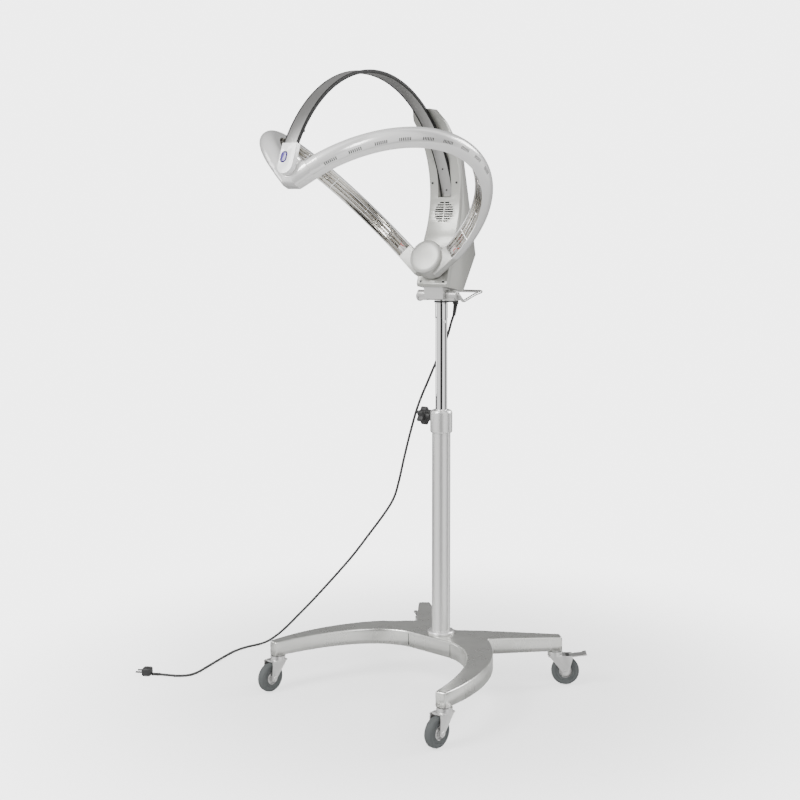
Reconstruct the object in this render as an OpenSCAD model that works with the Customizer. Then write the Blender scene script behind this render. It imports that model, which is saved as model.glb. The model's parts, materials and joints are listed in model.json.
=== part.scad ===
// Orbiting-ring hair processor on a rolling stand, in millimetres.
// Origin: on the floor under the column axis. +Z up, the client sits towards -Y.

/* [Base] */
// Height of the leg tops at the tips
leg_top = 132; // [125:1:140]
// Height of the top of the centre casting
hub_top = 138; // [134:1:150]
// Depth of the leg section at the tips
leg_depth = 37; // [30:1:42]
// Distance of the front casters from the middle plane
front_stem_x = 294; // [280:1:300]
// Distance of the front casters in front of the column
front_stem_y = 332; // [320:1:338]
// Distance of the rear casters from the middle plane
rear_stem_x = 237; // [225:1:242]
// Distance of the rear casters behind the column
rear_stem_y = 200; // [190:1:204]
// Direction in which the front casters trail, from +X
front_trail_angle = 270; // [225:5:315]
// Direction in which the rear casters trail, from +X
rear_trail_angle = 40; // [0:5:60]

/* [Casters] */
// Wheel diameter
wheel_d = 76; // [72:1:76]
// Tyre width
tyre_w = 24; // [20:1:25]
// Distance from stem to axle
trail = 28; // [24:1:32]

/* [Column] */
// Outer diameter of the lower column tube
column_d = 50; // [48:1:54]
// Height of the top of the collar
collar_top = 750; // [700:5:790]
// Outer diameter of the mast tube
mast_d = 32; // [30:1:34]
// Height of the top of the mast
mast_top = 1046; // [1046:1:1046]

/* [Head] */
// Turn of the head on the mast
head_turn = 10.3; // [-30:0.1:30]
// Height of the tilt axis
tilt_z = 1062; // [1062:1:1062]
// Width of the head housing
housing_w = 92; // [90:1:96]
// Wall of the housing mouldings
wall = 3; // [2.5:0.5:3.5]
// Radius of the overhead band
band_r = 386; // [384:1:388]
// Width of the overhead band
band_w = 38; // [34:1:40]

/* [Ring] */
// Downward slope of the spin axis towards the rear
axis_slope = 20.9; // [20:0.1:22]
// Radius of the arms, at the middle of their section
arm_r = 324; // [320:1:325]
// Angle between each arm and the ring's middle plane
arm_spread = 50.2; // [45:0.1:55]
// Turn of the ring about its axis
ring_turn = 1.3; // [-30:0.1:30]
// Width of the arm section
arm_w = 44; // [40:1:46]
// Depth of the arm section
arm_d = 38; // [34:1:38]
// Offset of the spin axis from the arms' chord
axis_offset = 43; // [40:1:46]

/* [Hidden] */
$fn = 64;

gap = 0.3;          // free space between parts that move past each other
fit = 0.05;         // radial clearance of a running fit
leg_bottom = leg_top - leg_depth;
axle_z = wheel_d / 2;
rim_r = 24;
axle_r = 4;
fork_inner = tyre_w / 2 + 4;
fork_plate = 2.5;
column_r = column_d / 2;
mast_r = mast_d / 2;
mast_bore_r = mast_r - 2.5;
tilt_y = -18;
shaft_r = 6;
barrel_r = 12;

// Turning ring: the axis starts at ring_y, ring_z in the head's middle plane.
chord_y = -373;
chord_z = 1228.5;
ring_y = chord_y + axis_offset * sin(axis_slope);
ring_z = chord_z + axis_offset * cos(axis_slope);
arm_in = arm_r - arm_d / 2;
arm_out = arm_r + arm_d / 2;
rear_angle = 17;
front_angle = 166;
slice_w = 0.5;
cap_gap = 2;
gear_teeth = 60;
pinion_teeth = 15;
gear_module = 1.2;
gear_from = 384;
gear_w = 12;
gear_reach = gear_module * (gear_teeth + pinion_teeth) / 2;
motor_from = gear_from + gear_w + 4;
hub_r = 46;
spin_r = 12;
pin_r = 7;

// Side view of the housing, in the head's middle plane: [y, z].
front_c = [-231, 1334.5];
front_r = 248;
fold_z = 1213;
toe = [-56, 1084];
BACK_EDGE = [[-70, 1550], [-14, 1521], [20, 1489], [75, 1429], [132, 1214], [144, 1167],
             [126, 1145], [75, 1070]];
SIDE_EDGE = [[-88, 1526], [-52, 1519], [-20, 1489], [22, 1429], [42, 1336], [48, 1273],
             [50, 1214], [46, 1167], [42, 1145], [36, 1070]];
FRONT_EDGE = [[-50, 1084], [-58, 1100], [-110, 1550]];
shoulder_y = -107;
back_half = 26;
cover_depth = 16;
fold_y = front_c[0] + sqrt(pow(front_r, 2) - pow(front_c[1] - fold_z, 2));
face_lean = (fold_y - toe[0]) / (fold_z - toe[1]);
band_c = [-340, 1234.5];
band_t = 9;
slot_half = band_w / 2 + 1.5;
slot_end_z = 1323;
vent_z = 1284;
vent_r = 29;
screw_top = [37, 1362];
screw_low = [35, 1098];

// Control panel, on the flat of the housing's back between two of its corners.
flat_top = BACK_EDGE[3];
flat_low = BACK_EDGE[4];
panel_lean = atan((flat_low[0] - flat_top[0]) / (flat_top[1] - flat_low[1]));
panel_z = 1275;
panel_y = flat_top[0] + (flat_top[1] - panel_z) * tan(panel_lean);
panel_w = 44;
panel_h = 92;
panel_t = 3;
board_depth = 22;
button_y = 2;
switch_y = 28;
switch_rest = 6;

// Middle line of the power cord, from the outlet to the plug.
cord_r = 3.5;
CORD = [[12, 45, 1034], [8, 45, 1012], [-3, 45, 984], [-20, 45, 940], [-60, 42, 863],
        [-84, 40, 815], [-104, 38, 775], [-122, 35, 730], [-144, 31, 658], [-162, 28, 592],
        [-178, 25, 528], [-194, 22, 480], [-222, 16, 435], [-271, 4, 370], [-335, -12, 288],
        [-439, -40, 170], [-500, -59, 104], [-552, -75, 50], [-588, -89, 19], [-606, -105, 7],
        [-615, -127, 4], [-620, -158, 4], [-618, -200, 4], [-605, -246, 4], [-578, -320, 4],
        [-557, -376, 4], [-547, -408, 4], [-549, -436, 4], [-566, -457, 4], [-588, -470, 4],
        [-612, -482, 4]];
cord_steps = 3;

// ---------- helpers ----------

function bezier(a, b, c, d, t) =
  pow(1 - t, 3) * a + 3 * t * pow(1 - t, 2) * b + 3 * t * t * (1 - t) * c + pow(t, 3) * d;
function arc(centre, r, from, to, n) =
  [for (i = [0:n]) let (t = from + (to - from) * i / n) centre + r * [cos(t), sin(t)]];

function unit(v) = v / norm(v);
// Direction of a line at one of its points; the ends may be given their own.
function heading(line, i, first, final) =
  let (last = len(line) - 1)
    i == 0 && norm(first) > 0 ? first
    : i == last && norm(final) > 0 ? final
    : unit(line[min(i + 1, last)] - line[max(i - 1, 0)]);
// Cross direction carried along the line, so that the tube doesn't twist.
function carried(line, i, first, final) =
  let (d = heading(line, i, first, final),
       before = i == 0 ? [0.1, 1, 0.2] : carried(line, i - 1, first, final))
    unit(before - d * (before * d));

// Round tube with n sides along a line of points.
module tube(line, r, n, first, final) {
  last = len(line) - 1;
  points = [for (i = [0:last]) let (d = heading(line, i, first, final),
                                    u = carried(line, i, first, final), v = cross(d, u))
    for (k = [0:n - 1]) line[i] + r * (cos(360 * k / n) * u + sin(360 * k / n) * v)];
  faces = concat([[for (k = [0:n - 1]) k]],
    [for (i = [0:last - 1]) for (k = [0:n - 1])
      [i * n + k, (i + 1) * n + k, (i + 1) * n + (k + 1) % n, i * n + (k + 1) % n]],
    [[for (k = [n - 1:-1:0]) last * n + k]]);
  polyhedron(points, faces);
}

module side(s) { mirror([s < 0 ? 1 : 0, 0, 0]) children(); }
module in_head() { rotate([0, 0, head_turn]) children(); }
// Local Z runs down the spin axis to the rear, local Y points down and back.
module on_spin() { translate([0, ring_y, ring_z]) rotate([-90 - axis_slope, 0, 0]) children(); }
module on_axis() { in_head() on_spin() children(); }
// Stands a shape drawn as [y, z] upright, centred on the head's middle plane.
module across(width) {
  rotate([90, 0, 90]) linear_extrude(width, center = true) children();
}
// Local X, Y of an arc become the spin axis and the arm's outward direction.
module on_arm(s) {
  on_axis() rotate([0, 0, ring_turn]) translate([0, axis_offset, 0])
    rotate([0, 0, s > 0 ? arm_spread - 90 : -90 - arm_spread]) rotate([-90, -90, 0]) children();
}

// ---------- base ----------

leg_inner = [for (i = [0:12]) bezier([74, -50], [190, -70], [250, -200], [281, -353], i / 12)];
leg_outer = [for (i = [0:12]) bezier([309, -348], [312, -190], [245, -45], [128, 45], i / 12)];
hub_outline = [[-74, -50], [74, -50], [128, 45], [16, 50], [-16, 50], [-128, 45]];
rear_outline = [[128, 45], [260, 203], [235, 225], [16, 50]];

module base_hub() {
  color("silver") difference() {
    translate([0, 0, leg_bottom]) linear_extrude(hub_top - leg_bottom) polygon(hub_outline);
    translate([0, 0, leg_bottom - 1]) cylinder(r = column_r, h = 60);
  }
}

// Top of a leg, falling from the hub to the tip, along -Y from the line y = start.
module leg_slope(start, run) {
  translate([0, start, hub_top]) rotate([atan((hub_top - leg_top) / run), 0, 0])
    translate([-400, -600, 0]) cube([800, 700, 60]);
}

module leg_blank(outline) {
  translate([0, 0, leg_bottom]) linear_extrude(hub_top - leg_bottom) polygon(outline);
}

module stem_hole(x, y) {
  translate([x, y, leg_bottom - 1]) cylinder(r = 6, h = 27);
}

module front_leg(s) {
  color("silver") side(s) difference() {
    leg_blank(concat(leg_inner, leg_outer));
    leg_slope(-50, 300);
    stem_hole(front_stem_x, -front_stem_y);
  }
}

module rear_leg(s) {
  color("silver") side(s) difference() {
    leg_blank(rear_outline);
    rotate([0, 0, 135]) leg_slope(-75, 240);
    stem_hole(rear_stem_x, rear_stem_y);
  }
}

module caster_stems() {
  color("gainsboro") for (s = [-1, 1]) {
    caster_stem(s * front_stem_x, -front_stem_y);
    caster_stem(s * rear_stem_x, rear_stem_y);
  }
}

module caster_stem(x, y) {
  translate([x, y, leg_bottom]) {
    translate([0, 0, -3]) cylinder(r = 15, h = 3);
    translate([0, 0, -12]) cylinder(r = 6, h = 38);
  }
}

// Local frame of a caster: stem axis at the origin, wheel trailing along +X, floor at Z = 0.
module at_caster(s, front) {
  side(s) translate([front ? front_stem_x : rear_stem_x, front ? -front_stem_y : rear_stem_y, 0])
    rotate([0, 0, front ? front_trail_angle : rear_trail_angle]) children();
}

module fork(braked) {
  crown_z = leg_bottom - 16;
  color("gainsboro") difference() {
    union() {
      translate([0, 0, crown_z]) cylinder(r = 20, h = 16 - 3 - gap);
      translate([-18, -fork_inner - fork_plate, crown_z - 1])
        cube([46, 2 * (fork_inner + fork_plate), 4]);
      for (s = [-1, 1]) fork_arm(s, braked);
      translate([trail, 0, axle_z]) rotate([90, 0, 0])
        cylinder(r = axle_r, h = 2 * (fork_inner + fork_plate) + 1, center = true);
      if (braked) translate([42, 0, crown_z - 0.5]) rotate([90, 0, 0])
        cylinder(r = 2, h = 2 * fork_inner + 1, center = true);
    }
    translate([0, 0, crown_z - 5]) cylinder(r = 6 + fit, h = 30);
  }
}

module fork_arm(s, braked) {
  crown_z = leg_bottom - 16;
  nose = braked ? 47 : 34;
  translate([0, s * (fork_inner + fork_plate / 2), 0]) rotate([90, 0, 0]) {
    linear_extrude(fork_plate, center = true)
      polygon([[-18, crown_z + 3], [nose, crown_z + 3], [nose, crown_z - 4],
               [trail + 9, axle_z], [trail - 9, axle_z]]);
    translate([trail, axle_z, 0]) cylinder(r = 9, h = fork_plate, center = true);
    translate([trail, axle_z, s * -2]) cylinder(r = 6, h = 5, center = true, $fn = 6);
  }
}

module rim() {
  color("lightgray") translate([trail, 0, axle_z]) rotate([90, 0, 0]) rotate_extrude()
    polygon([[axle_r + fit, -13], [9, -13], [9, -6], [19, -6], [21, -10], [rim_r, -10],
             [rim_r, 10], [21, 10], [19, 6], [9, 6], [9, 13], [axle_r + fit, 13]]);
}

module tyre() {
  r = wheel_d / 2;
  h = tyre_w / 2;
  color("dimgray") translate([trail, 0, axle_z]) rotate([90, 0, 0]) rotate_extrude()
    polygon(concat([[rim_r, h - 2]], arc([r - 8, h - 7], 7, 90, 20, 5), [[r, 3], [r, -3]],
                   arc([r - 8, 7 - h], 7, -20, -90, 5), [[rim_r, 2 - h]]));
}

module brake_pedal(s) {
  pivot_z = leg_bottom - 16.5;
  color("gainsboro") at_caster(s, false) translate([42, 0, pivot_z]) difference() {
    union() {
      rotate([90, 0, 0]) cylinder(r = 3.5, h = 2 * fork_inner - 1, center = true);
      rotate([0, -8, 0]) translate([0, -15, -1]) cube([44, 30, 2.5]);
      rotate([0, -8, 0]) translate([34, -17, -1]) cube([10, 34, 4]);
    }
    rotate([90, 0, 0]) cylinder(r = 2 + fit, h = 60, center = true);
  }
}

// ---------- column ----------

module column_flange() {
  color("silver") translate([0, 0, hub_top]) rotate_extrude()
    polygon([[column_r, 0], [37, 0], [37, 5], [33, 9], [column_r, 9]]);
}

module column_tube() {
  color("silver") difference() {
    translate([0, 0, leg_bottom]) cylinder(r = column_r, h = collar_top - 40 - leg_bottom);
    translate([0, 0, leg_bottom - 1]) cylinder(r = column_r - 2.5, h = collar_top);
  }
}

module column_collar() {
  bottom = collar_top - 62;
  color("silver") difference() {
    translate([0, 0, bottom]) rotate_extrude()
      polygon([[5, 0], [28, 0], [30, 3], [30, 55], [27, 60], [22, 62], [5, 62]]);
    translate([0, 0, bottom - 1]) cylinder(r = column_r, h = 23);
    translate([0, 0, bottom]) cylinder(r = mast_r + fit, h = 80);
    translate([0, 0, collar_top - 22]) rotate([0, -90, 0]) cylinder(r = 4 + fit, h = 60);
  }
}

module star_knob() {
  color("black") translate([0, 0, collar_top - 22]) rotate([0, -90, 0]) {
    translate([0, 0, mast_r + gap]) cylinder(r = 4, h = 24);
    translate([0, 0, 36]) cylinder(r1 = 9, r2 = 11, h = 14);
    translate([0, 0, 50]) linear_extrude(20)
      polygon([for (t = [0:5:355]) (21.5 + 3.5 * cos(6 * t)) * [cos(t), sin(t)]]);
  }
}

// ---------- mast ----------

module mast_tube() {
  bottom = 440;
  color("gainsboro") difference() {
    union() {
      translate([0, 0, bottom]) cylinder(r = mast_r, h = mast_top - bottom);
      translate([0, 0, bottom]) cylinder(r = column_r - 2.5 - fit, h = 30);
      translate([0, 0, 989]) rotate([0, 90, -20]) cylinder(r = 4, h = mast_r + 3);
    }
    translate([0, 0, bottom - 1]) cylinder(r = mast_bore_r, h = mast_top);
  }
}

module mast_sleeve() {
  color("white") difference() {
    translate([0, 0, 998]) cylinder(r = mast_r + 1, h = 40);
    translate([0, 0, 997]) cylinder(r = mast_r, h = 42);
  }
}

// Bracket that carries the cord gland just under the yoke.
module cord_outlet() {
  color("dimgray") difference() {
    union() {
      translate([0, 0, 1040]) cylinder(r = mast_r + 4, h = 4.5);
      rotate([0, 0, -15]) translate([-8, 0, 1040]) cube([16, 46, 4.5]);
      translate([CORD[0][0], CORD[0][1], CORD[0][2]]) cylinder(r = 8, h = 10.5);
    }
    translate([0, 0, 1030]) cylinder(r = mast_r, h = 30);
  }
}

// ---------- yoke and tilt ----------

module yoke() {
  plate_z = mast_top + gap;
  color("silver") in_head() difference() {
    union() {
      translate([-54, -16, plate_z]) cube([108, 30, 6]);
      translate([0, 0, plate_z]) cylinder(r = 20, h = 6);
      translate([0, 0, 1000]) cylinder(r = mast_bore_r - fit, h = 50);
      for (s = [-1, 1]) side(s) translate([30, 0, 0]) {
        translate([0, tilt_y, tilt_z]) rotate([0, 90, 0]) cylinder(r = barrel_r, h = 30);
        translate([0, tilt_y - 9, plate_z]) cube([24, 22, 12]);
      }
    }
    translate([-80, tilt_y, tilt_z]) rotate([0, 90, 0]) cylinder(r = 4, h = 160);
    translate([-48, tilt_y, tilt_z]) rotate([0, 90, 0]) cylinder(r = shaft_r, h = 96);
    translate([0, 0, 999]) cylinder(r = 7, h = 60);
  }
}

module tilt_shaft() {
  color("gainsboro") in_head() translate([-48, tilt_y, tilt_z]) rotate([0, 90, 0])
    cylinder(r = shaft_r, h = 96);
}

// Middle line of the bent rod's right half, from the ear's end to the crossbar's middle.
handle_half = [[50, tilt_y, tilt_z], [60, tilt_y, tilt_z], [64.5, -17, 1060.5], [67, -14, 1055],
               [68, -9, 1049], [68, -2, 1046], [68, 8, 1046.5], [66, 30, 1051], [64, 70, 1060],
               [64, 100, 1065], [62.5, 109, 1066], [58, 115.5, 1066.8], [50, 119, 1067],
               [40, 119, 1067]];

module grab_handle() {
  n = len(handle_half) - 1;
  color("silver") in_head()
    tube(concat([for (i = [0:n]) handle_half[i]], [for (i = [n:-1:0])
      [-handle_half[i][0], handle_half[i][1], handle_half[i][2]]]), 4, 12, [1, 0, 0], [1, 0, 0]);
}

module tilt_knuckle() {
  color("silver") in_head() difference() {
    translate([0, tilt_y, tilt_z]) across(58) {
      circle(r = 9.2);
      polygon([[-25, -11], [-12, -12], [-6, -7], [9, 0], [12, 14], [48, 10], [48, 24],
               [-28, 24], [-25, 8]]);
    }
    translate([-80, tilt_y, tilt_z]) rotate([0, 90, 0]) cylinder(r = shaft_r + fit, h = 160);
    housing(0);
  }
}

// ---------- head housing ----------

// Rear outline drawn in by a wall's thickness.
function drawn_in(edge, inset) = [for (p = edge)
  [p[0] - inset, p[1] > 1549 ? p[1] - inset : p[1] < 1100 ? p[1] + inset : p[1]]];
function front_edge(inset) = [for (p = FRONT_EDGE)
  [p[0], p[1] > 1549 ? p[1] - inset : p[1] < 1100 ? p[1] + inset : p[1]]];

module housing(inset) {
  difference() {
    hull() {
      across(2 * (back_half - inset)) polygon(concat(drawn_in(BACK_EDGE, inset), front_edge(inset)));
      across(housing_w - 2 * inset)
        polygon(concat(drawn_in(SIDE_EDGE, inset), [for (i = [0:1]) front_edge(inset)[i]],
                       [[shoulder_y + inset, SIDE_EDGE[0][1]]]));
    }
    front_face(inset);
  }
}

// Everything in front of the housing's face: a hollow curve above, a leaning flat below.
module front_face(back) {
  translate([0, front_c[0], front_c[1]]) across(200) circle(r = front_r + back, $fn = 180);
  low = toe[1] - 40;
  across(200) polygon([[fold_y + back, fold_z], [toe[0] + back - 40 * face_lean, low],
                       [-300, low], [-300, fold_z]]);
}

// Trough that takes the rear end of the overhead band.
module recess(extra) {
  intersection() {
    translate([0, band_c[0], band_c[1]]) across(2 * (slot_half + extra))
      circle(r = band_r + band_t / 2 + extra, $fn = 180);
    translate([-50, -300, slot_end_z - extra]) cube([100, 400, 300]);
  }
}

module front_cover() {
  color("lightgray") in_head() difference() {
    union() {
      difference() {
        intersection() {
          housing(0);
          front_face(cover_depth);
        }
        housing(wall);
      }
      intersection() {
        housing(0);
        recess(wall);
      }
      on_spin() {
        translate([0, 0, 346]) cylinder(r = hub_r + 1, h = 5);
        translate([0, 0, 346]) cylinder(r = 24, h = 32);
        for (s = [-1, 1]) translate([s * 26, -72, 343]) cylinder(r = 4, h = motor_from - 343);
      }
    }
    recess(0);
    for (i = [-4:4]) vent_slot(i * 6.2);
    for (s = [-1, 1]) side(s) {
      translate([screw_top[0], 0, screw_top[1]]) rotate([-90, 0, 0]) cylinder(r = 2, h = 40);
      translate([screw_low[0], -60, screw_low[1]]) rotate([-90, 0, 0]) cylinder(r = 2, h = 40);
    }
    on_spin() {
      translate([0, 0, 330]) cylinder(r = hub_r - 2, h = 17.5);
      translate([0, 0, 330]) cylinder(r = spin_r + 2, h = 22);
      translate([0, 0, 330]) cylinder(r = spin_r + fit, h = 60);
    }
  }
}

module vent_slot(dz) {
  half = sqrt(vent_r * vent_r - dz * dz);
  for (s = [-1, 1]) side(s) translate([1.5, -20, vent_z + dz - 1.7]) cube([half - 2, 60, 3.4]);
}

module rear_shell() {
  color("lightgray") in_head() difference() {
    housing(0);
    front_face(cover_depth);
    housing(wall);
    on_panel() translate([-17, -36, -12]) cube([34, 72, 30]);
  }
}

module cover_screws() {
  color("dimgray") in_head() for (s = [-1, 1]) side(s) {
    translate([screw_top[0], 15, screw_top[1]]) rotate([-90, 0, 0]) cylinder(r = 2, h = 12);
    translate([screw_low[0], -52, screw_low[1]]) rotate([-90, 0, 0]) cylinder(r = 2, h = 12);
  }
}

module band_arc(r, t, from, to, w) {
  translate([0, band_c[0], band_c[1]]) rotate([90, 0, 90]) rotate([0, 0, from])
    rotate_extrude(angle = to - from, $fn = 180) translate([r - t / 2, -w / 2]) square([t, w]);
}

module overhead_band() {
  color("darkgray") in_head() difference() {
    band_arc(band_r, band_t, 13.8, 152, band_w);
    on_front_pivot() translate([-30, -34, -20]) cube([60, 100, 40]);
  }
}

module on_front_pivot() { on_spin() translate([0, 0, -arm_out - cap_gap]) children(); }

module tip_cap() {
  color("white") in_head() on_front_pivot() difference() {
    union() {
      translate([0, 20, -14]) cylinder(r = 20.5, h = 14);
      translate([-20.5, -34, -14]) cube([41, 54, 14]);
    }
    translate([0, 0, -9.5]) cylinder(r = pin_r + fit, h = 12);
    lens_shape(9, -14.5, 3.5);
  }
}

module lens_shape(r, from, h) {
  translate([-8, 0, from]) {
    for (dy = [-5, 5]) translate([0, dy, 0]) cylinder(r = r, h = h);
    translate([-r, -5, 0]) cube([2 * r, 10, h]);
  }
}

module sensor_lens() {
  color("mediumpurple") in_head() on_front_pivot() lens_shape(7.5, -15.5, 4.5);
}

// ---------- inside the head ----------

// Fan with its duct, which fits the hollow of the front cover.
module fan_frame() {
  color("dimgray") in_head() difference() {
    translate([0, 24, vent_z]) {
      difference() {
        translate([-31, -20, -31]) cube([62, 34, 62]);
        rotate([-90, 0, 0]) translate([0, 0, -30]) cylinder(r = 28, h = 60);
      }
      rotate([-90, 0, 0]) translate([0, 0, 11]) cylinder(r = 10, h = 3);
      for (a = [0, 120, 240]) rotate([0, a, 0]) translate([-2, 11, 8]) cube([4, 3, 21]);
      rotate([-90, 0, 0]) translate([0, 0, 1]) cylinder(r = 1.5, h = 11);
    }
    front_face(wall);
  }
}

module fan_rotor() {
  color("black") in_head() translate([0, 24, vent_z]) rotate([-90, 0, 0]) difference() {
    union() {
      translate([0, 0, 1]) cylinder(r = 11, h = 9);
      for (a = [0:51.43:359]) rotate([0, 0, a]) translate([9, 0, 5.5]) rotate([40, 0, 0])
        translate([0, -5, -0.8]) cube([17, 10, 1.6]);
    }
    cylinder(r = 1.5 + fit, h = 20);
  }
}

module drive_motor() {
  color("dimgray") on_axis() translate([0, 0, motor_from]) difference() {
    union() {
      translate([-32, -78, 0]) cube([64, 30, 2]);
      translate([0, -gear_reach, 0]) cylinder(r = 18, h = 34);
    }
    translate([0, -gear_reach, -1]) cylinder(r = 2.5 + fit, h = 20);
  }
}

// Gear outline: straight-flanked teeth with clearance at tip and root.
function gear_outline(teeth, first) = [
  for (i = [0:teeth - 1]) for (k = [0:3])
    let (pitch = 360 / teeth, r = gear_module * teeth / 2,
         w = [-0.36, -0.12, 0.12, 0.36][k], out = (k == 1 || k == 2) ? 0.8 : -1.1)
      (r + out * gear_module) * [cos(first + (i + w) * pitch), sin(first + (i + w) * pitch)]];

module spin_gear() {
  color("ivory") on_axis() {
    translate([0, 0, gear_from]) linear_extrude(gear_w) polygon(gear_outline(gear_teeth, -90));
    translate([0, 0, 294]) cylinder(r = spin_r, h = gear_from + gear_w - 294);
  }
}

module drive_pinion() {
  color("ivory") on_axis() translate([0, -gear_reach, gear_from]) {
    linear_extrude(gear_w) polygon(gear_outline(pinion_teeth, 90 + 180 / pinion_teeth));
    cylinder(r = 2.5, h = 28);
  }
}

module circuit_board() {
  color("darkgreen") in_head() on_panel() translate([0, 0, -board_depth]) {
    translate([-20, -42, 0]) cube([40, 84, 1.6]);
    translate([-14, -30, 1.6]) cube([14, 22, 7]);
    translate([4, 4, 1.6]) cylinder(r = 6, h = 8);
    translate([-16, 8, 1.6]) cube([12, 20, 5]);
    for (x = [-14, 14], y = [-39.3, 39.3]) translate([x, y, 1])
      cylinder(r = 2.5, h = board_depth - 1 - wall * cos(panel_lean));
  }
}

// ---------- control panel ----------

// Local Z points out of the housing's back, local Y down.
module on_panel() { translate([0, panel_y, panel_z]) rotate([-90 + panel_lean, 0, 0]) children(); }

module control_panel() {
  color("dimgray") in_head() on_panel() difference() {
    translate([-panel_w / 2, -panel_h / 2, 0]) cube([panel_w, panel_h, panel_t]);
    for (s = [-1, 1]) translate([s * 10, button_y, -1]) cylinder(r = 5 + fit, h = 9);
    translate([-8.3, switch_y - 6.3, -1]) cube([16.6, 12.6, 9]);
    translate([0, switch_y, panel_t / 2]) rotate([0, 90, 0])
      cylinder(r = 1 + fit, h = 20.4, center = true);
  }
}

module button(s) {
  color("white") in_head() on_panel() translate([s * 10, button_y, 0]) {
    translate([0, 0, -1]) cylinder(r = 5, h = 6.5);
    translate([0, 0, -1.5]) cylinder(r = 6.5, h = 1.5);
  }
}

module power_switch() {
  color("black") in_head() on_panel() translate([0, switch_y, panel_t / 2])
    rotate([-switch_rest, 0, 0]) {
      translate([-7.8, -5.6, -3]) cube([15.6, 11.2, 6.2]);
      rotate([0, 90, 0]) cylinder(r = 1, h = 20, center = true);
    }
}

// ---------- ring ----------

// Half of the arm's outer outline, as [radius, distance from its plane].
function shell_outline(inset) =
  let (half = arm_w / 2 - inset, out = arm_out - inset, knee = arm_in + 16)
    concat([[arm_in, -half]], [for (t = [-90:10:90]) [knee + (out - knee) * cos(t), half * sin(t)]],
           [[arm_in, half]]);

module shell_section() {
  polygon(concat(shell_outline(0), [for (i = [len(shell_outline(2.5)) - 1:-1:0]) shell_outline(2.5)[i]]));
}

module arm_sweep(from, to) {
  rotate([0, 0, from]) rotate_extrude(angle = to - from, $fn = 180) children();
}

module arm_shell(s) {
  color("whitesmoke") on_arm(s) arm_sweep(rear_angle, front_angle) shell_section();
}

// Polished trough behind the heater, with lips that rest on the shell's walls.
function trough(depth, half) =
  [for (t = [-90:15:90]) [arm_in + 8 + depth * cos(t), half * sin(t)]];

module reflector(s) {
  half = arm_w / 2 - 2.5;
  inner = trough(17, half - 1.5);
  outer = concat([[arm_in + 3, -half]], trough(18.5, half), [[arm_in + 3, half]]);
  color("gainsboro") on_arm(s) arm_sweep(rear_angle + 1, front_angle - 1)
    polygon(concat(outer, [[arm_in + 3, half - 1.5]], [for (i = [len(inner) - 1:-1:0]) inner[i]],
                   [[arm_in + 3, 1.5 - half]]));
}

module heater(s) {
  color("moccasin") on_arm(s) arm_sweep(rear_angle, front_angle)
    translate([arm_in + 13, 0]) circle(r = 5, $fn = 32);
}

module guard_wires() {
  color("silver") for (s = [-1, 1]) on_arm(s) {
    for (h = [-9, 0, 9]) arm_sweep(rear_angle, front_angle)
      translate([arm_in + 2, h]) circle(r = 1, $fn = 32);
    for (t = [45, 90, 135]) rotate([0, 0, t]) translate([arm_in + 2, 0, 0])
      cube([1.4, arm_w - 5, 3], center = true);
  }
}

// Thin slice of an arm at one angle along it.
module arm_slice(s, angle) {
  on_arm(s) arm_sweep(angle, angle + slice_w) polygon(shell_outline(0));
}

module hub_body() {
  color("lightgray") difference() {
    union() {
      for (s = [-1, 1]) hull() {
        arm_slice(s, rear_angle - slice_w);
        arm_slice(s, 4);
      }
      on_axis() translate([0, 0, 293]) cylinder(r = hub_r, h = 46);
    }
    on_axis() translate([0, 0, 294]) cylinder(r = spin_r, h = 60);
  }
}

module hub_cap() {
  color("lightgray") on_axis() translate([0, 0, 287]) rotate_extrude()
    polygon([[0, 0], [hub_r - 6, 0], [hub_r - 1, 2], [hub_r, 6], [0, 6]]);
}

module ring_nose() {
  color("whitesmoke") {
    for (s = [-1, 1]) hull() {
      arm_slice(s, front_angle);
      arm_slice(s, 178.5);
    }
    hull() for (s = [-1, 1], angle = [171, 178.5]) arm_slice(s, angle);
    on_axis() {
      translate([0, 0, -arm_out]) cylinder(r = 18, h = 20);
      translate([0, 0, -arm_out - cap_gap - 9]) cylinder(r = pin_r, h = 20);
    }
  }
}

// ---------- power cord ----------

function spline(p, i, t) =
  let (n = len(p) - 1, a = p[max(i - 1, 0)], b = p[i], c = p[min(i + 1, n)], d = p[min(i + 2, n)])
    0.5 * (2 * b + (c - a) * t + (2 * a - 5 * b + 4 * c - d) * t * t
           + (3 * b - 3 * c + d - a) * t * t * t);

cord_line = concat([for (i = [0:len(CORD) - 2]) for (k = [0:cord_steps - 1])
                      spline(CORD, i, k / cord_steps)], [CORD[len(CORD) - 1]]);

module power_cord() { color("black") tube(cord_line, cord_r, 8, [0, 0, -1], [0, 0, 0]); }

module cord_plug() {
  heading = atan2(-18, -26);
  color("black") translate(CORD[len(CORD) - 1]) rotate([0, 0, heading]) {
    rotate([0, 90, 0]) cylinder(r = 4, h = 24);
    translate([24, -14, -4]) cube([26, 28, 22]);
    for (s = [-1, 1]) translate([50, s * 9.5, 7]) rotate([0, 90, 0]) cylinder(r = 2.4, h = 19);
  }
}

// ---------- output ----------

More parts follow.
